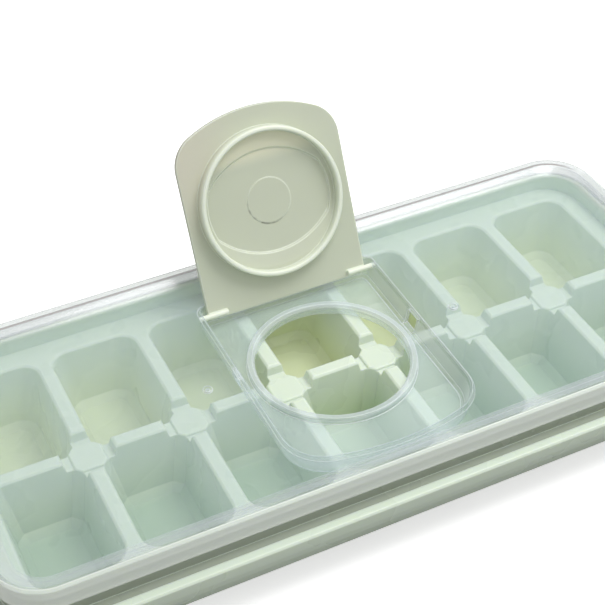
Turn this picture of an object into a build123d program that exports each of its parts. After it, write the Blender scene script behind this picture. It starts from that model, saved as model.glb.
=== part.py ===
from build123d import *
from math import cos, radians, sin, sqrt, tan
import os

os.makedirs("parts", exist_ok=True)

# Overall layout. X runs along the tray, Y across it, Z up, and the cells stand on Z = 0.
columns = 7
cell_pitch = 34.0
cross_bar = 4.8
cell_width = cell_pitch - cross_bar
cell_length = 42.7
centre_bar = 4.6
deck_height = 24.0
wall = 1.5
deck_thickness = 1.8

# The cells narrow downward so that the ice slides out.
floor_thickness = 1.6
cell_draft = 10.6
floor_bevel = 2.2
corner_radius = 6.0
cup_corner = 3.8
plate_corner = 3.0
mouth_reach = centre_bar / 2 + cell_length
row_centre = centre_bar / 2 + cell_length / 2
column_x = [(i - (columns - 1) / 2) * cell_pitch for i in range(columns)]
junction_x = [(i - (columns - 2) / 2) * cell_pitch for i in range(columns - 1)]

# Water runs from cell to cell through a notch round each junction plate.
notch_reach = 8.7
notch_depth = 3.4
notch_draft = 13
plate_depth = 2.6
plate_reach = 5.4
plate_bevel = 0.4
bar_bevel = 0.6
pad_margin = 0.3

# Rim of the tray, measured outward from the centre line of the long side.
border = 7.1
collar_in = mouth_reach + border
collar_width = 1.9
collar_out = collar_in + collar_width
collar_rise = 6.4
collar_top = deck_height + collar_rise
groove_width = 3.8
groove_out = collar_out + groove_width
groove_drop = 2.0
groove_floor = deck_height - groove_drop
flange_width = 3.1
flange_out = groove_out + flange_width
flange_drop = 0.6
flange_top = deck_height - flange_drop
skirt_wall = 1.8
skirt_bottom = 13.0
hem_height = 5.0
hem_inset = 1.5
deck_lap = 1.0
end_extra = column_x[-1] + cell_width / 2 - mouth_reach
outer_radius = 22.0
collar_bevel = 0.4
flange_bevel = 0.6
bend_bevel = 1.2

# Lid. Its ledge rests on the collar and its skirt hangs outside the collar.
rim_clearance = 0.4
lid_wall = 1.2
lid_out = collar_out + rim_clearance + lid_wall
ledge_lap = 1.0
ledge_in = collar_out - ledge_lap
lid_skirt_drop = 2.9
lid_skirt_bottom = collar_top - lid_skirt_drop
lid_panel_rise = 2.8
lid_panel_top = collar_top + lid_panel_rise
lid_panel = 1.3
lid_rim_rise = 2.4
lid_rim_top = lid_panel_top + lid_rim_rise
rim_land = 3.2
rim_slope = 3.8
land_in = lid_out - rim_land
slope_in = land_in - rim_slope
rim_bevel = 0.7
slope_lap = 2.0
slope_shift = 0.35

# Filling hole with its raised collar, in the floor of a sunk well.
hole_radius = 25.45
hole_y = 0.2
hole_rim_width = 2.55
hole_rim_height = 2.4
hole_rim_bevel = 0.3
hole_lead_in = 0.8
hole_margin = 4.1
hole_rim_radius = hole_radius + hole_rim_width
well_half_width = hole_rim_radius + hole_margin
well_margin = 3.2
well_bow = 6.5
well_front = well_margin - slope_in
well_side_front = well_front + well_bow
well_corner = 13.5
well_back_corner = 3.0
well_clearance = 0.2
well_floor = deck_height + well_clearance + lid_wall
well_depth = lid_panel_top - well_floor
well_draft = 10.9
well_edge_bevel = 0.4
well_floor_bevel = 0.9
well_underside_bevel = 1.2
window_centre_y = 3.7
window_width = 6.0
window_sill = 0.2
window_low = well_floor + window_sill
window_height = 5.6
cut_margin = 3.0
side_cut = 2 * (well_half_width + cut_margin)

# Two small gate marks on the panel
gate_margin = 12.4
gate_x = well_half_width + gate_margin
gate_y = -1.0
gate_radius = 1.5
gate_height = 0.5
gate_pit_radius = 0.8
gate_pit_depth = 0.3

# Flip cap, hinged on two short rods near the back of the well.
hinge_margin = 4.6
plug_y = hole_rim_radius + hinge_margin
pivot_y = hole_y + plug_y
rod_radius = 0.95
rod_clearance = 0.07
rod_drop = 0.7
cap_thickness = 1.6
cap_sink = 0.2
pivot_z = lid_panel_top - cap_sink - cap_thickness - rod_drop
cap_side_gap = 2.7
cap_half_width = well_half_width - cap_side_gap
cap_lip = 7.05
cap_heel = 1.5
cap_bow = 9.2
cap_corner = 12.0
cap_heel_corner = 1.2
rod_lap = 6.8
rod_inner_x = cap_half_width - rod_lap
rod_end = 0.9
rod_outer_x = well_half_width + rod_end
open_angle = 116.0
lean = radians(open_angle - 90)
back_reach = cap_thickness + rod_drop + (lid_panel_top - pivot_z) * sin(lean)
well_back = pivot_y + back_reach / cos(lean)

# Plug ring and the lens-shaped hollow between its two crescents
plug_clearance = 0.2
plug_radius = hole_radius - plug_clearance
plug_wall = 1.6
plug_inner = plug_radius - plug_wall
cap_reach = plug_y + plug_radius + cap_lip
cap_front_side = cap_reach - cap_bow
plug_height = 4.6
plug_bevel = 0.4
lens_spread = 3.35
lens_radius = plug_inner + lens_spread
lens_shift = 9.75
tip_margin = 1.75
lens_tip = plug_inner - tip_margin
step_height = 0.7
step_growth = 0.5
slope_height = 0.9
slope_growth = 4.5
mark_radius = 7.8
mark_height = 0.15

# Edges are found by their height, give or take this much.
hair = 0.01
standing = (Align.CENTER, Align.CENTER, Align.MIN)
hanging = (Align.CENTER, Align.CENTER, Align.MAX)


def level_edges(block, height):
    """Edges of a block that lie level at a height."""
    return block.edges().filter_by_position(Axis.Z, height - hair, height + hair)


def ring_path(half):
    """Closed rounded path round the tray, starting at the middle of the front side."""
    radius = outer_radius - (flange_out - half)
    long_half = half + end_extra
    with BuildLine() as path:
        front = Line((0, -half), (long_half - radius, -half))
        corner_1 = JernArc(front @ 1, (1, 0), radius, 90)
        right = Line(corner_1 @ 1, (long_half, half - radius))
        corner_2 = JernArc(right @ 1, (0, 1), radius, 90)
        back = Line(corner_2 @ 1, (radius - long_half, half))
        corner_3 = JernArc(back @ 1, (-1, 0), radius, 90)
        left = Line(corner_3 @ 1, (-long_half, radius - half))
        corner_4 = JernArc(left @ 1, (0, -1), radius, 90)
        Line(corner_4 @ 1, (0, -half))
    return path.wire()


def rounded_area(half, height):
    """Rounded rectangle that keeps the same centre as the rim."""
    radius = outer_radius - (flange_out - half)
    with BuildSketch(Plane.XY.offset(height)) as area:
        RectangleRounded(2 * (half + end_extra), 2 * half, radius)
    return area.sketch


def leaning_block(width, length, top, bottom):
    """Block round the middle of a row, with walls that lean inward on the way down."""
    with BuildPart() as block:
        with Locations((0, row_centre, top)):
            Box(width, length, top - bottom, align=hanging)
        sides = block.faces().filter_by(Plane.XY, reverse=True)
        draft(sides, Plane.XY.offset(top), -cell_draft)
    return block.part


def upright_edges(block):
    """Corner edges of a block, those nearest the tray's centre line first."""
    return block.edges().filter_by(Plane.XY, reverse=True).sort_by(Axis.Y)


# Space inside one cell, with rounded outer corners and a bevel all round its floor
mouth = leaning_block(cell_width, cell_length, deck_height, floor_thickness)
with BuildPart() as cell_space:
    add(mouth)
    chamfer(upright_edges(cell_space)[:2], plate_corner)
    fillet(upright_edges(cell_space)[-2:], corner_radius)
    chamfer(cell_space.faces().sort_by(Axis.Z)[0].edges(), floor_bevel)

# Outside of one cell, a wall thickness larger
cup_top = deck_height - deck_thickness / 2
cup_growth = wall - (deck_height - cup_top) * tan(radians(cell_draft))
cup_width = cell_width + 2 * cup_growth
cup = leaning_block(cup_width, cell_length + 2 * cup_growth, cup_top, 0)
with BuildPart() as cell_cup:
    add(cup)
    chamfer(upright_edges(cell_cup)[:2], plate_corner + wall * (2 - sqrt(2)))
    chamfer(upright_edges(cell_cup)[-2:], cup_corner)
    chamfer(cell_cup.faces().sort_by(Axis.Z)[0].edges(), floor_bevel)

# Notch at a junction, round the plate that stands in it
with BuildPart() as notch:
    with BuildSketch(Plane.XY.offset(deck_height)):
        Rectangle(2 * notch_reach, 2 * notch_reach)
    extrude(amount=-notch_depth)
    sides = notch.faces().filter_by(Plane.XY, reverse=True)
    draft(sides, Plane.XY.offset(deck_height), -notch_draft)
    with Locations((0, 0, deck_height - notch_depth)):
        Box(
            2 * plate_reach,
            2 * plate_reach,
            notch_depth - plate_depth,
            align=standing,
            mode=Mode.SUBTRACT,
        )

# Rim of the tray in section: deck edge, collar, groove, flange and skirt with a turned-in hem
rim_path = ring_path(collar_in)
skirt_in = flange_out - skirt_wall
rim_underside = groove_floor - deck_thickness
with BuildSketch(Plane.YZ) as rim_section:
    with BuildLine():
        Polyline(
            (-(collar_in - deck_lap), deck_height),
            (-collar_in, deck_height),
            (-collar_in, collar_top),
            (-collar_out, collar_top),
            (-collar_out, groove_floor),
            (-groove_out, groove_floor),
            (-groove_out, flange_top),
            (-flange_out, flange_top),
            (-flange_out, skirt_bottom + hem_height),
            (-(flange_out - hem_inset), skirt_bottom),
            (-(skirt_in - hem_inset), skirt_bottom),
            (-skirt_in, skirt_bottom + hem_height),
            (-skirt_in, rim_underside),
            (-(collar_in - deck_lap), rim_underside),
            close=True,
        )
    make_face()
    for distance, height, bevel in (
        (collar_in, collar_top, collar_bevel),
        (collar_out, collar_top, collar_bevel),
        (flange_out, flange_top, flange_bevel),
        (flange_out, skirt_bottom + hem_height, bend_bevel),
        (skirt_in, skirt_bottom + hem_height, bend_bevel),
    ):
        chamfer(rim_section.vertices().sort_by_distance((-distance, height, 0))[0], bevel)

# Tray
with BuildPart() as tray:
    add(rounded_area(collar_in, deck_height - deck_thickness))
    extrude(amount=deck_thickness)
    sweep(sections=rim_section.sketch, path=rim_path)
    with Locations(*[(x, 0, 0) for x in column_x]):
        add(cell_cup.part)
        add(cell_cup.part.rotate(Axis.Z, 180))
    pad = 2 * (notch_reach + pad_margin)
    with Locations(*[(x, 0, deck_height - notch_depth - wall) for x in junction_x]):
        Box(pad, pad, wall + deck_thickness, align=standing)
    with Locations(*[(x, 0, 0) for x in column_x]):
        add(cell_space.part, mode=Mode.SUBTRACT)
        add(cell_space.part.rotate(Axis.Z, 180), mode=Mode.SUBTRACT)
    with Locations(*[(x, 0, 0) for x in junction_x]):
        add(notch.part, mode=Mode.SUBTRACT)
    mouth_edges = (
        level_edges(tray, deck_height)
        .filter_by_position(Axis.Y, -mouth_reach - hair, mouth_reach + hair)
        .filter_by_position(
            Axis.X, -mouth_reach - end_extra - hair, mouth_reach + end_extra + hair
        )
    )
    chamfer(mouth_edges, bar_bevel)
    chamfer(level_edges(tray, deck_height - plate_depth), plate_bevel)
tray.part.label = "tray"
export_step(tray.part, "parts/tray.step")

# Rim of the lid in section: slope, land, skirt, and the ledge that rests on the collar
under = lid_panel_top - lid_panel
with BuildSketch(Plane.YZ) as lid_rim_section:
    with BuildLine():
        Polyline(
            (-(slope_in - slope_lap), lid_panel_top),
            (-slope_in, lid_panel_top),
            (-land_in, lid_rim_top),
            (-lid_out, lid_rim_top),
            (-lid_out, lid_skirt_bottom),
            (-(lid_out - lid_wall), lid_skirt_bottom),
            (-(lid_out - lid_wall), collar_top),
            (-ledge_in, collar_top),
            (-ledge_in, lid_rim_top - lid_panel),
            (-(land_in + slope_shift), lid_rim_top - lid_panel),
            (-(slope_in + slope_shift), under),
            (-(slope_in - slope_lap), under),
            close=True,
        )
    make_face()
    for distance in (lid_out, land_in):
        corner = lid_rim_section.vertices().sort_by_distance((-distance, lid_rim_top, 0))[0]
        chamfer(corner, rim_bevel)


def well_block(top, bottom, grow):
    """Block with the outline of the sunk well, a bowed front and large front corners."""
    half_width = well_half_width + grow
    with BuildPart() as block:
        with BuildSketch(Plane.XY.offset(top)):
            with BuildLine():
                Polyline(
                    (-half_width, well_side_front - grow),
                    (-half_width, well_back + grow),
                    (half_width, well_back + grow),
                    (half_width, well_side_front - grow),
                )
                ThreePointArc(
                    (half_width, well_side_front - grow),
                    (0, well_front - grow),
                    (-half_width, well_side_front - grow),
                )
            make_face()
        extrude(amount=bottom - top)
        sides = block.faces().filter_by(Plane.XY, reverse=True)
        draft(sides, Plane.XY.offset(top), -well_draft)
        fillet(upright_edges(block)[:2], well_corner + grow)
        fillet(upright_edges(block)[-2:], well_back_corner + grow)
    return block.part


well_space = well_block(lid_panel_top, well_floor, 0)
well_cup = well_block(lid_panel_top - lid_panel / 2, well_floor - lid_wall, lid_wall)

# Lid
with BuildPart() as lid:
    add(rounded_area(slope_in - slope_lap / 2, lid_panel_top - lid_panel))
    extrude(amount=lid_panel)
    sweep(sections=lid_rim_section.sketch, path=ring_path(slope_in))
    add(well_cup)
    add(well_space, mode=Mode.SUBTRACT)
    for height, bevel in ((well_floor, well_floor_bevel), (lid_panel_top, well_edge_bevel)):
        well_edges = level_edges(lid, height).filter_by_position(
            Axis.X, -well_half_width - hair, well_half_width + hair
        )
        chamfer(well_edges.filter_by_position(Axis.Y, well_front - hair, well_back + hair), bevel)
    chamfer(lid.faces().sort_by(Axis.Z)[0].edges(), well_underside_bevel)
    with Locations((0, hole_y, well_floor)):
        Cylinder(hole_rim_radius, hole_rim_height, align=standing)
    with Locations((0, hole_y, well_floor + hole_rim_height)):
        Cylinder(hole_radius, well_depth, align=hanging, mode=Mode.SUBTRACT)
    hole_rim = level_edges(lid, well_floor + hole_rim_height).sort_by(SortBy.RADIUS)
    chamfer(hole_rim[0], hole_lead_in)
    chamfer(hole_rim[-1], hole_rim_bevel)
    with Locations((0, window_centre_y, window_low)):
        Box(side_cut, window_width, window_height, align=standing, mode=Mode.SUBTRACT)
    with Locations(Location((0, pivot_y, pivot_z), (0, 90, 0))):
        Cylinder(rod_radius + rod_clearance, side_cut, mode=Mode.SUBTRACT)
    with Locations((gate_x, gate_y, lid_panel_top), (-gate_x, gate_y, lid_panel_top)):
        Cylinder(gate_radius, gate_height, align=standing)
        Cylinder(gate_pit_radius, gate_pit_depth, align=hanging, mode=Mode.SUBTRACT)
lid.part.label = "lid"
export_step(lid.part, "parts/lid.step")

# Flip cap, drawn in its open position. Local Y runs from the rods to the free edge and
# local Z points out of the side that carries the plug ring.
cap_plane = Plane(
    origin=(0, pivot_y, pivot_z), x_dir=(1, 0, 0), z_dir=(0, -cos(lean), sin(lean))
)
panel_face = cap_plane.offset(-rod_drop)
plug_place = panel_face.location * Location((0, plug_y, 0))
crescent_height = step_height + slope_height


def lens_tier(place, low_radius, growth, height, limit):
    """Slice of the lens where two circles overlap, kept inside a circle at the ring's centre."""
    with BuildPart() as tier:
        with Locations(place * Location((0, lens_shift, 0))):
            Cone(low_radius, low_radius + growth, height, align=standing)
        with Locations(place * Location((0, -lens_shift, 0))):
            Cone(
                low_radius, low_radius + growth, height, align=standing, mode=Mode.INTERSECT
            )
        with Locations(place):
            Cylinder(limit, height, align=standing, mode=Mode.INTERSECT)
    return tier.part


def crescents(place, radius):
    """Two crescents beside a lens-shaped floor, with a small step and then shallow slopes."""
    step = lens_tier(place, lens_radius, step_growth, step_height, lens_tip)
    slope_place = place * Location((0, 0, step_height))
    slope_radius = lens_radius + step_growth
    slope = lens_tier(slope_place, slope_radius, slope_growth, slope_height, plug_inner)
    with BuildPart() as pads:
        with Locations(place):
            Cylinder(radius, crescent_height, align=standing)
        add(step, mode=Mode.SUBTRACT)
        add(slope, mode=Mode.SUBTRACT)
    return pads.part


# The crescents stand inside the ring, and finger recesses follow them on the outer face.
plug_crescents = crescents(plug_place, plug_inner)
recess_place = plug_place * Location((0, 0, -cap_thickness))
finger_recesses = crescents(recess_place, lens_tip)

with BuildPart() as flip_cap:
    with BuildSketch(panel_face) as panel:
        with BuildLine():
            Polyline(
                (-cap_half_width, cap_front_side),
                (-cap_half_width, -cap_heel),
                (cap_half_width, -cap_heel),
                (cap_half_width, cap_front_side),
            )
            ThreePointArc(
                (cap_half_width, cap_front_side),
                (0, cap_reach),
                (-cap_half_width, cap_front_side),
            )
        make_face()
        fillet(panel.vertices().group_by(Axis.Y)[-1], cap_corner)
        fillet(panel.vertices().group_by(Axis.Y)[0], cap_heel_corner)
    extrude(amount=-cap_thickness)
    with BuildSketch(panel_face):
        with Locations((0, plug_y)):
            Circle(plug_radius)
            Circle(plug_inner, mode=Mode.SUBTRACT)
    extrude(amount=plug_height)
    rim_face = flip_cap.faces().sort_by(Axis(cap_plane.origin, cap_plane.z_dir))[-1]
    chamfer(rim_face.edges(), plug_bevel)
    add(plug_crescents)
    add(finger_recesses, mode=Mode.SUBTRACT)
    with BuildSketch(panel_face):
        with Locations((0, plug_y)):
            Circle(mark_radius)
    extrude(amount=mark_height)
    with BuildSketch(cap_plane * Plane.YZ.offset(rod_inner_x)):
        Circle(rod_radius)
    extrude(amount=rod_outer_x - rod_inner_x)
    with BuildSketch(cap_plane * Plane.YZ.offset(-rod_outer_x)):
        Circle(rod_radius)
    extrude(amount=rod_outer_x - rod_inner_x)
flip_cap.part.label = "flip_cap"
export_step(flip_cap.part, "parts/flip_cap.step")
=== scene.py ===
from math import radians

import bmesh
import bpy
from mathutils import Matrix, Vector


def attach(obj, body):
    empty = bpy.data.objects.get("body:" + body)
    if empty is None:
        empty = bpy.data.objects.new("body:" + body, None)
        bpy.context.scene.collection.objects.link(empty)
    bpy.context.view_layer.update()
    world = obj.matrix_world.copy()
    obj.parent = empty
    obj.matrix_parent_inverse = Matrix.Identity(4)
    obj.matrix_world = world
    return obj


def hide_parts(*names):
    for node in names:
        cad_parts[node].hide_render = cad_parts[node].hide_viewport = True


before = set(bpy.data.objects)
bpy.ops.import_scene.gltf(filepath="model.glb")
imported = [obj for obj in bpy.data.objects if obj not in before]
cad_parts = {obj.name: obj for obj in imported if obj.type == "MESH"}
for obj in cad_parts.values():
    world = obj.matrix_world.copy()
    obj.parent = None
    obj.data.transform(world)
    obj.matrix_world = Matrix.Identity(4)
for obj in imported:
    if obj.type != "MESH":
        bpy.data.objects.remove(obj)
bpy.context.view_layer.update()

# Camera. It looks down at the front of the tray from its left, so close that both ends of
# the tray run out of the picture.
scene = bpy.context.scene
scene.view_settings.view_transform = "Standard"
camera_data = bpy.data.cameras.new("camera")
camera_data.sensor_width = 36
camera_data.lens = 83.8
camera = bpy.data.objects.new("camera", camera_data)
camera.location = (-0.15595, -0.29539, 0.34424)
camera_aim = Vector((0.3314, 0.6752, -0.6591))
camera.rotation_euler = camera_aim.to_track_quat("-Z", "Y").to_euler()
scene.collection.objects.link(camera)
scene.camera = camera


# Tray. The real one is a single moulding in pale green polypropylene, glossy on top, with
# thin walls that glow a little where light comes through them. Low in the cells its green is
# painted yellower, for light that has come through the plastic, and in the front row it is
# painted darker, as shade. Along its corners it is painted paler, as a highlight.
class Socket:
    """One output of a material's nodes. Arithmetic on it adds Math nodes."""

    def __init__(self, tree, output=None):
        self.tree = tree
        self.output = output

    def node(self, kind, settings, inputs, output=0):
        """Adds a node, sets it up, feeds it values or sockets, and gives one of its outputs."""
        made = self.tree.nodes.new(kind)
        for name, value in settings.items():
            setattr(made, name, value)
        for name, value in inputs.items():
            if isinstance(value, Socket):
                self.tree.links.new(value.output, made.inputs[name])
            else:
                made.inputs[name].default_value = value
        return Socket(self.tree, made.outputs[output])

    def maths(self, operation, *values):
        return self.node("ShaderNodeMath", {"operation": operation}, dict(enumerate(values)))

    def __add__(self, other):
        return self.maths("ADD", self, other)

    __radd__ = __add__

    def __sub__(self, other):
        return self.maths("SUBTRACT", self, other)

    def __rsub__(self, other):
        return self.maths("SUBTRACT", other, self)

    def __mul__(self, other):
        return self.maths("MULTIPLY", self, other)

    __rmul__ = __mul__

    def __rtruediv__(self, other):
        return self.maths("DIVIDE", other, self)

    def __pow__(self, other):
        return self.maths("POWER", self, other)

    def __abs__(self):
        return self.maths("ABSOLUTE", self)

    def between(self, low, high):
        """0 at low, 1 at high, and smooth in between."""
        settings = {"interpolation_type": "SMOOTHSTEP"}
        inputs = {"Value": self, "From Min": low, "From Max": high}
        return self.node("ShaderNodeMapRange", settings, inputs)


def new_finish(name):
    """An empty material, and the Socket that its nodes start from."""
    material = bpy.data.materials.new(name)
    material.use_nodes = True
    material.node_tree.nodes.clear()
    return material, Socket(material.node_tree)


def show(start, shader):
    """Makes a shader the surface of its material."""
    output = start.tree.nodes.new("ShaderNodeOutputMaterial")
    start.tree.links.new(shader.output, output.inputs["Surface"])


def tint(start, amount, first, second):
    """A colour between two others."""
    return start.node("ShaderNodeMix", {"data_type": "RGBA"}, {0: amount, 6: first, 7: second}, 2)


def linear(*screen):
    """A colour given from 0 to 255 as a screen shows it, for a shader's socket."""
    shares = [part / 255 for part in screen]
    return [s / 12.92 if s < 0.04045 else ((s + 0.055) / 1.055) ** 2.4 for s in shares] + [1]


def noise(start, place, scale, detail=2.0):
    """Soft random values from 0 to 1 over a surface."""
    inputs = {"Vector": place, "Scale": scale, "Detail": detail}
    return start.node("ShaderNodeTexNoise", {}, inputs)


def corners(start, radius):
    """A normal that is rounded near corners, and a mask that is 1 at a corner, 0 on flats."""
    rounded = start.node("ShaderNodeBevel", {"samples": 6}, {"Radius": radius})
    flat = start.node("ShaderNodeNewGeometry", {}, {}, "True Normal")
    settings = {"operation": "DOT_PRODUCT"}
    agreement = start.node("ShaderNodeVectorMath", settings, {0: rounded, 1: flat}, "Value")
    still_flat = 0.004
    full_corner = 0.06
    return rounded, (1 - agreement).between(still_flat, full_corner)


def moulded_skin(start, place, rounded, grain_scale, grain_depth):
    """The surface of a moulding, with softened corners and a faint orange peel."""
    height = noise(start, place, grain_scale)
    inputs = {"Strength": 1.0, "Distance": grain_depth, "Height": height, "Normal": rounded}
    return start.node("ShaderNodeBump", {}, inputs)


def spread(start, place):
    """The three coordinates of a place on a piece."""
    return [start.node("ShaderNodeSeparateXYZ", {}, {"Vector": place}, axis) for axis in range(3)]


corner_x = 0.1105
corner_y = 0.0389


def outwards(start, x, y):
    """How far a place lies from the tray's middle line, measured square to its rounded rim."""
    past_end = start.maths("MAXIMUM", abs(x) - corner_x, 0.0)
    past_side = start.maths("MAXIMUM", abs(y) - corner_y, 0.0)
    return corner_y + (past_end * past_end + past_side * past_side) ** 0.5


# A tenth of a millimetre, in which the soft edges between colours are measured.
tenth = 0.0001

cell_floor = 0.002
deck = 0.024
hem_foot = 0.006
hem_top = 0.027
groove_low = 0.0262
groove_high = 0.0274
collar_edge = 0.054
flange_edge = 0.0578
row_blend = 0.012
cloudiness = 0.1
groove_shadow_strength = 0.75
hem_shadow_strength = 0.15
tray_green = linear(218, 230, 214)
tray_green_lit_through = linear(218, 226, 190)
tray_green_front_shade = linear(180, 200, 172)
tray_edge_highlight = linear(228, 238, 224)
tray_painted_shade = linear(158, 164, 150)
tray_finish, start = new_finish("tray_polypropylene")
place = start.node("ShaderNodeTexCoord", {}, {}, "Object")
tray_x, tray_y, tray_z = spread(start, place)
outward = outwards(start, tray_x, tray_y)
clouds = noise(start, place, scale=28)
shallow = tray_z.between(cell_floor, deck - 10 * tenth)
front_row_shade = tray_y.between(0.0, -row_blend)
past_collar = outward.between(collar_edge - 2 * tenth, collar_edge)
before_flange = outward.between(flange_edge + 2 * tenth, flange_edge - 2 * tenth)
groove_shadow = past_collar * before_flange * tray_z.between(groove_high, groove_low)
hem_shadow = outward.between(collar_edge, collar_edge + 5 * tenth) * tray_z.between(hem_top, hem_foot)
rounded, at_corner = corners(start, radius=6 * tenth)
# Painted shade: the cells of the front row are painted a darker green.
tray_colour = tint(start, front_row_shade, tray_green_lit_through, tray_green_front_shade)
upper = shallow * (1 - cloudiness + cloudiness * clouds)
# Painted light: low in the back row's cells the green is painted yellower, for light that has come
# through the plastic.
tray_colour = tint(start, upper, tray_colour, tray_green)
# Painted shade in the groove under the lid's skirt.
tray_colour = tint(start, groove_shadow_strength * groove_shadow, tray_colour, tray_painted_shade)
# Painted shade: the hem grows darker towards its foot.
tray_colour = tint(start, hem_shadow_strength * hem_shadow, tray_colour, tray_painted_shade)
tray_surface = start.node(
    "ShaderNodeBsdfPrincipled",
    {},
    {
        # Painted highlight: along the corners of the tray's top the green is painted paler.
        "Base Color": tint(start, at_corner * shallow, tray_colour, tray_edge_highlight),
        "Roughness": 0.22 + 0.12 * noise(start, place, scale=60),
        "IOR": 1.49,
        "Subsurface Weight": 0.5,
        "Subsurface Radius": (1.0, 1.0, 0.6),
        "Subsurface Scale": 0.002,
        "Normal": moulded_skin(start, place, rounded, grain_scale=900, grain_depth=0.000002),
    },
)
show(start, tray_surface)


def dress(node, finish):
    """Gives a CAD node its finish."""
    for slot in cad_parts[node].material_slots:
        slot.material = finish


dress("tray", tray_finish)

# Lid. The real one is a thin moulding in clear polypropylene, which is never quite clear: it
# lays a bluish milk over what is under it, denser in its thick rim. Along its corners the milk is
# denser still and painted white, as highlights.
# The collar round its filling hole is one unbroken ring, so it is raised here from its foot.
hole_centre = Vector((0, 0.0002, 0))
hole_radius = 0.02545
collar_radius = 0.028
collar_foot = 0.02559
collar_top = 0.0278
collar_lead_in = 0.0008
collar_bevel = 0.0003
hair = 0.00002
merge_distance = 0.000001
sharp_from = radians(25)
shell = bmesh.new()
shell.from_mesh(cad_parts["lid"].data)
bmesh.ops.remove_doubles(shell, verts=shell.verts, dist=merge_distance)


def reach(point):
    """How far a point of the lid lies from the axis of the filling hole."""
    return (point.co.xy - hole_centre.xy).length


def raised(edges, rise, growth):
    """A ring of edges drawn upward into a wall, whose top ring is larger by a factor."""
    made = bmesh.ops.extrude_edge_only(shell, edges=edges)["geom"]
    points = [item for item in made if isinstance(item, bmesh.types.BMVert)]
    bmesh.ops.translate(shell, verts=points, vec=(0, 0, rise))
    around = Matrix.Translation(-hole_centre)
    bmesh.ops.scale(shell, verts=points, vec=(growth, growth, 1), space=around)
    return [item for item in made if isinstance(item, bmesh.types.BMEdge)]


old_collar = [
    face
    for face in shell.faces
    if all(hole_radius - hair < reach(point) < collar_radius + hair for point in face.verts)
]

# These lists keep the mesh's own order, which a set would lose.
old_edges = list(dict.fromkeys(edge for face in old_collar for edge in face.edges))
old_points = list(dict.fromkeys(point for face in old_collar for point in face.verts))
bmesh.ops.bisect_plane(
    shell,
    geom=old_collar + old_edges + old_points,
    plane_co=(0, 0, collar_foot),
    plane_no=(0, 0, 1),
    clear_outer=True,
)
open_edges = [edge for edge in shell.edges if edge.is_boundary]
middle = (hole_radius + collar_radius) / 2
outer = [edge for edge in open_edges if reach(edge.verts[0]) > middle]
inner = [edge for edge in open_edges if reach(edge.verts[0]) < middle]
wall_rise = collar_top - collar_foot
outer = raised(outer, wall_rise - collar_bevel, 1)
outer = raised(outer, collar_bevel, 1 - collar_bevel / collar_radius)
inner = raised(inner, wall_rise - collar_lead_in, 1)
inner = raised(inner, collar_lead_in, 1 + collar_lead_in / hole_radius)
bmesh.ops.bridge_loops(shell, edges=outer + inner)
bmesh.ops.recalc_face_normals(shell, faces=shell.faces)
for face in shell.faces:
    face.smooth = True
lid_mesh = bpy.data.meshes.new("clear_lid")
shell.to_mesh(lid_mesh)
shell.free()
lid_mesh.attributes.remove(lid_mesh.attributes["custom_normal"])
lid_mesh.set_sharp_from_angle(angle=sharp_from)
clear_lid = bpy.data.objects.new("clear_lid", lid_mesh)
scene.collection.objects.link(clear_lid)
shading = clear_lid.modifiers.new("level_faces", "WEIGHTED_NORMAL")
shading.keep_sharp = True
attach(clear_lid, "lid")
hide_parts("lid")

rim_start = 0.0486
rim_crest = 0.0524
rim_edge = 0.0556
well_floor = 0.0254
panel_under = 0.0318
crest_foot = 0.0342
rim_top = 0.035
far_side_start = 0.04
far_side_end = 0.05
panel_milk = linear(170, 198, 206)
rim_milk = linear(200, 208, 217)
skirt_milk_and_light = linear(242, 246, 240)
well_milk = linear(214, 232, 236)
white_milk_and_highlight = linear(244, 248, 250)
far_line_shade = linear(122, 114, 114)
lid_finish, start = new_finish("lid_clear_polypropylene")
place = start.node("ShaderNodeTexCoord", {}, {}, "Object")
lid_x, lid_y, lid_z = spread(start, place)
outward = outwards(start, lid_x, lid_y)
on_rim = outward.between(rim_start - 4 * tenth, rim_start + 4 * tenth)
on_skirt = outward.between(rim_edge - 14 * tenth, rim_edge - 8 * tenth)

# Two thin grey lines of painted shade run along the far rim, on its crest and on its edge.
at_crest = abs(outward - rim_crest).between(6 * tenth, 3 * tenth)
at_edge = outward.between(rim_edge - 6 * tenth, rim_edge - 2 * tenth)
on_far_top = lid_y.between(far_side_start, far_side_end) * lid_z.between(rim_top - 5 * tenth, rim_top)
on_shade_lines = start.maths("MAXIMUM", at_crest, at_edge) * on_far_top

from_hole = (lid_x * lid_x + lid_y * lid_y) ** 0.5
on_collar = from_hole.between(collar_radius + 6 * tenth, collar_radius)
on_collar = on_collar * lid_z.between(collar_foot, collar_foot + 10 * tenth)
on_collar = on_collar * lid_z.between(collar_top + 10 * tenth, collar_top + 5 * tenth)
on_wall = lid_z.between(well_floor, well_floor + 8 * tenth)
on_wall = on_wall * lid_z.between(panel_under, panel_under - 6 * tenth)
on_wall = on_wall * outward.between(rim_start - 4 * tenth, rim_start - 12 * tenth)
on_wall = on_wall * (1 - on_collar)
in_well = lid_z.between(well_floor + 4 * tenth, well_floor)
in_well = in_well * outward.between(rim_start, rim_start - 4 * tenth)

# Every corner is painted as a highlight, with denser and whiter milk, but on the rim only its
# crest is. On the collar and by the lid's edge the painted highlight is weaker.
collar_dulling = 0.35
edge_dulling = 0.8
rounded, at_corner = corners(start, radius=5 * tenth)
on_crest = lid_z.between(crest_foot, crest_foot + 4 * tenth)
on_crest = on_crest * outward.between(rim_edge - 20 * tenth, rim_edge - 26 * tenth)
by_edge = outward.between(rim_edge - 12 * tenth, rim_edge - 8 * tenth)
at_corner = at_corner * (1 - on_rim * (1 - on_crest))
at_corner = at_corner * (1 - collar_dulling * on_collar) * (1 - edge_dulling * by_edge)

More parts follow.
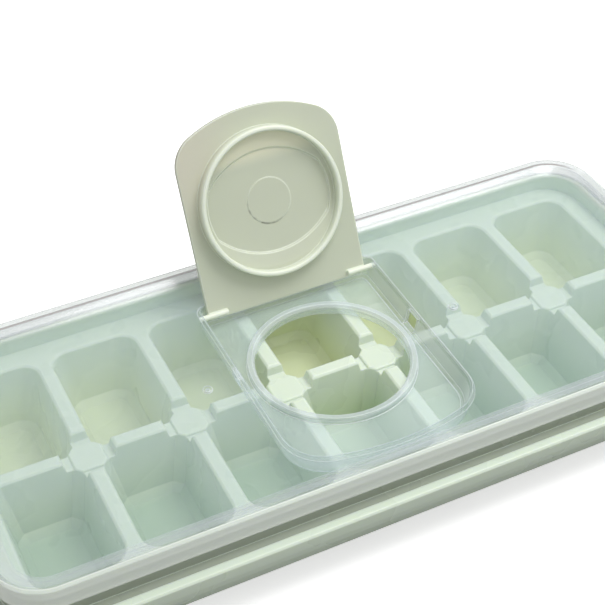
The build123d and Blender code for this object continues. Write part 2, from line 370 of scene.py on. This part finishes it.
# How clear the panel is to a ray that meets it squarely, and what other places lose of that.
panel_clearness = 0.89
rim_loss = 0.045
skirt_loss = 0.3
collar_loss = 0.2
wall_loss = 0.08
well_loss = 0.06
corner_highlight_loss = 0.85
shade_line_loss = 0.55
clear_share = panel_clearness - rim_loss * on_rim - skirt_loss * on_skirt
clear_share = clear_share - collar_loss * on_collar - wall_loss * on_wall
clear_share = clear_share - well_loss * in_well * (1 - on_collar)
clear_share = clear_share * (1 - corner_highlight_loss * at_corner) * (1 - shade_line_loss * on_shade_lines)

# A ray meets more milk where it grazes a wall, because its way through is longer. One that
# only carries light meets less than one that is seen, because milk scatters light onward.
least_slope = 0.02
scattered_onward = 0.3
turned_away = start.node("ShaderNodeLayerWeight", {}, {"Blend": 0.5}, "Facing")
shadow_ray = start.node("ShaderNodeLightPath", {}, {}, "Is Shadow Ray")
soft_ray = start.node("ShaderNodeLightPath", {}, {}, "Is Diffuse Ray")
by_light = start.maths("MAXIMUM", shadow_ray, soft_ray)
milk_share = 1 - clear_share ** (1 / (1 + least_slope - turned_away))
milk_share = milk_share * (1 - scattered_onward * by_light)

least_gloss = 0.03
grazing_gloss = 0.9
gloss_share = (least_gloss + grazing_gloss * turned_away ** 5) * (1 - by_light)

# Painted light: the well's walls, which face away from the lamp, are painted white, as the corners
# are; the collar is whiter for its thick plastic.
collar_whiteness = 0.7
wall_painted_light = 0.8
whitened = start.maths("MAXIMUM", at_corner, collar_whiteness * on_collar)
whitened = start.maths("MAXIMUM", whitened, wall_painted_light * on_wall)
milk_colour = tint(start, on_rim, panel_milk, rim_milk)
# Painted light: the skirt faces away from the lamp, and its milk is painted nearly white, beyond what
# its milk alone would give.
milk_colour = tint(start, on_skirt, milk_colour, skirt_milk_and_light)
milk_colour = tint(start, in_well, milk_colour, well_milk)
milk_colour = tint(start, whitened, milk_colour, white_milk_and_highlight)
milk_colour = tint(start, on_shade_lines, milk_colour, far_line_shade)
skin = moulded_skin(start, place, rounded, grain_scale=120, grain_depth=0.000002)
glass = start.node("ShaderNodeBsdfTransparent", {}, {"Color": (1, 1, 1, 1)})
milky = start.node(
    "ShaderNodeBsdfPrincipled",
    {},
    {"Base Color": milk_colour, "Roughness": 0.35, "IOR": 1.49, "Normal": skin},
)
mirror = start.node(
    "ShaderNodeBsdfAnisotropic", {}, {"Color": (1, 1, 1, 1), "Roughness": 0.18, "Normal": skin}
)
lid_body = start.node("ShaderNodeMixShader", {}, {0: milk_share, 1: glass, 2: milky})
show(start, start.node("ShaderNodeMixShader", {}, {0: gloss_share, 1: lid_body, 2: mirror}))
lid_mesh.materials.append(lid_finish)

# Flip cap. The real one is an opaque moulding in grey green polypropylene with a satin
# surface, and its face carries a plug ring round a hollow finger grip. A worn circle from
# its gate is left in the middle of the grip.
hinge = Vector((0, 0.0328, 0.0307))
cap_up = Vector((0, 0.43837, 0.89879))
cap_out = Vector((0, -0.89879, 0.43837))
face_drop = 0.0007
plug_up = 0.0326
plug_height = 0.0046
plug_radius = 0.02525
plug_inner = 0.02365
mark_radius = 0.0078
rod_start = 0.0222
rod_radius = 0.0009
crescent_start = 0.012
crescent_full = 0.018
rosy_reach = 0.03
rosy_height = 0.02
rose_share = 0.6
crescent_light_share = 0.8
scuff_share = 0.55
cap_green = linear(207, 213, 193)
cap_green_deep = linear(201, 206, 186)
cap_rose = linear(216, 209, 193)
cap_crescent_light = linear(244, 242, 216)
cap_highlight = linear(238, 244, 228)
cap_scuff = linear(140, 140, 124)
cap_finish, start = new_finish("cap_polypropylene")
place = start.node("ShaderNodeTexCoord", {}, {}, "Object")


def along(start, place, direction, origin):
    """How far a place lies from an origin in one direction."""
    settings = {"operation": "DOT_PRODUCT"}
    inputs = {0: place, 1: tuple(direction)}
    return start.node("ShaderNodeVectorMath", settings, inputs, "Value") - direction.dot(origin)


cap_x = spread(start, place)[0]
cap_y = along(start, place, cap_up, hinge) - plug_up
cap_z = along(start, place, cap_out, hinge) + face_drop
from_plug = (cap_x * cap_x + cap_y * cap_y) ** 0.5
on_ring = from_plug.between(plug_inner - 3 * tenth, plug_inner)
on_ring = on_ring * from_plug.between(plug_radius + 3 * tenth, plug_radius)
on_ring = on_ring * cap_z.between(4 * tenth, plug_height)
in_grip = from_plug.between(plug_inner, plug_inner - 3 * tenth)
on_rod = abs(cap_x).between(rod_start, rod_start + 6 * tenth)
on_rod = on_rod * (cap_y + plug_up).between(rod_radius + 4 * tenth, rod_radius)
on_mark = abs(from_plug - mark_radius).between(5 * tenth, 2 * tenth)
wear = noise(start, place, scale=240, detail=4.0).between(0.5, 0.62)
rosy = cap_x.between(0.0, -rosy_reach) * cap_y.between(-rosy_height, rosy_height) * (1 - in_grip)
upper_crescent = in_grip * cap_y.between(crescent_start, crescent_full)
rounded, at_corner = corners(start, radius=7 * tenth)
# Painted highlight: the plug ring, the hinge rods and the cap's corners are painted paler.
pale = start.maths("MAXIMUM", on_ring, start.maths("MAXIMUM", on_rod, at_corner))
cap_colour = tint(start, noise(start, place, scale=35), cap_green_deep, cap_green)
cap_colour = tint(start, rose_share * rosy, cap_colour, cap_rose)
# Painted light: the grip's upper crescent, which lies in the ring's shade, is painted pale and warm.
cap_colour = tint(start, crescent_light_share * upper_crescent, cap_colour, cap_crescent_light)
cap_colour = tint(start, pale, cap_colour, cap_highlight)
cap_surface = start.node(
    "ShaderNodeBsdfPrincipled",
    {},
    {
        "Base Color": tint(start, scuff_share * on_mark * wear, cap_colour, cap_scuff),
        "Roughness": 0.36 + 0.12 * noise(start, place, scale=80),
        "IOR": 1.49,
        "Subsurface Weight": 0.2,
        "Subsurface Radius": (1.0, 1.0, 0.6),
        "Subsurface Scale": 0.001,
        "Normal": moulded_skin(start, place, rounded, grain_scale=1200, grain_depth=0.000003),
    },
)
show(start, cap_surface)
dress("flip_cap", cap_finish)

# Floor. It is white paper that shows as plain white outside the tray's shadow, because it
# glows a little to the camera. It throws less light back at the tray than white paper does.
floor_half = 6
floor_glow = 0.55
paper_white = (0.9, 0.9, 0.9, 1)
paper_shade = (0.4, 0.4, 0.4, 1)
floor_shape = bmesh.new()
bmesh.ops.create_grid(floor_shape, x_segments=1, y_segments=1, size=floor_half)
floor_mesh = bpy.data.meshes.new("floor")
floor_shape.to_mesh(floor_mesh)
floor_shape.free()
floor = bpy.data.objects.new("floor", floor_mesh)
scene.collection.objects.link(floor)
paper, start = new_finish("white_paper")
seen = start.node("ShaderNodeLightPath", {}, {}, "Is Camera Ray")
paper_colour = tint(start, seen, paper_shade, paper_white)
matt = start.node("ShaderNodeBsdfDiffuse", {}, {"Color": paper_colour})
glow = start.node("ShaderNodeEmission", {}, {"Color": (1, 1, 1, 1), "Strength": 1.0})
dark = start.node("ShaderNodeEmission", {}, {"Color": (0, 0, 0, 1), "Strength": 0.0})
shown = start.node("ShaderNodeMixShader", {}, {0: floor_glow * seen, 1: dark, 2: glow})
show(start, start.node("ShaderNodeAddShader", {}, {0: matt, 1: shown}))
floor_mesh.materials.append(paper)

# Light. A soft box hangs high to the right of the tray, and a white room gives the rest. The
# room is brighter above than below, brighter still in reflections, and plain white to the
# camera.
light_below = 0.17
more_above = 0.55
more_mirrored = 0.3
world = bpy.data.worlds.new("room")
world.use_nodes = True
world.node_tree.nodes.clear()
start = Socket(world.node_tree)
seen = start.node("ShaderNodeLightPath", {}, {}, "Is Camera Ray")
mirrored = start.node("ShaderNodeLightPath", {}, {}, "Is Glossy Ray")
direction = start.node("ShaderNodeTexCoord", {}, {}, "Generated")
upward = spread(start, direction)[2].between(-0.3, 0.6)
room_light = light_below + more_above * upward + more_mirrored * mirrored
strength = seen + (1 - seen) * room_light
room = start.node("ShaderNodeBackground", {}, {"Color": (1, 1, 1, 1), "Strength": strength})
world_output = start.tree.nodes.new("ShaderNodeOutputWorld")
start.tree.links.new(room.output, world_output.inputs["Surface"])
scene.world = world

soft_box = bpy.data.lights.new("overhead", "AREA")
soft_box.size = 0.45
soft_box.energy = 4.4
overhead = bpy.data.objects.new("overhead", soft_box)
overhead.location = (0.34, -0.08, 0.86)
overhead.rotation_euler = (-overhead.location).to_track_quat("-Z", "Y").to_euler()
scene.collection.objects.link(overhead)
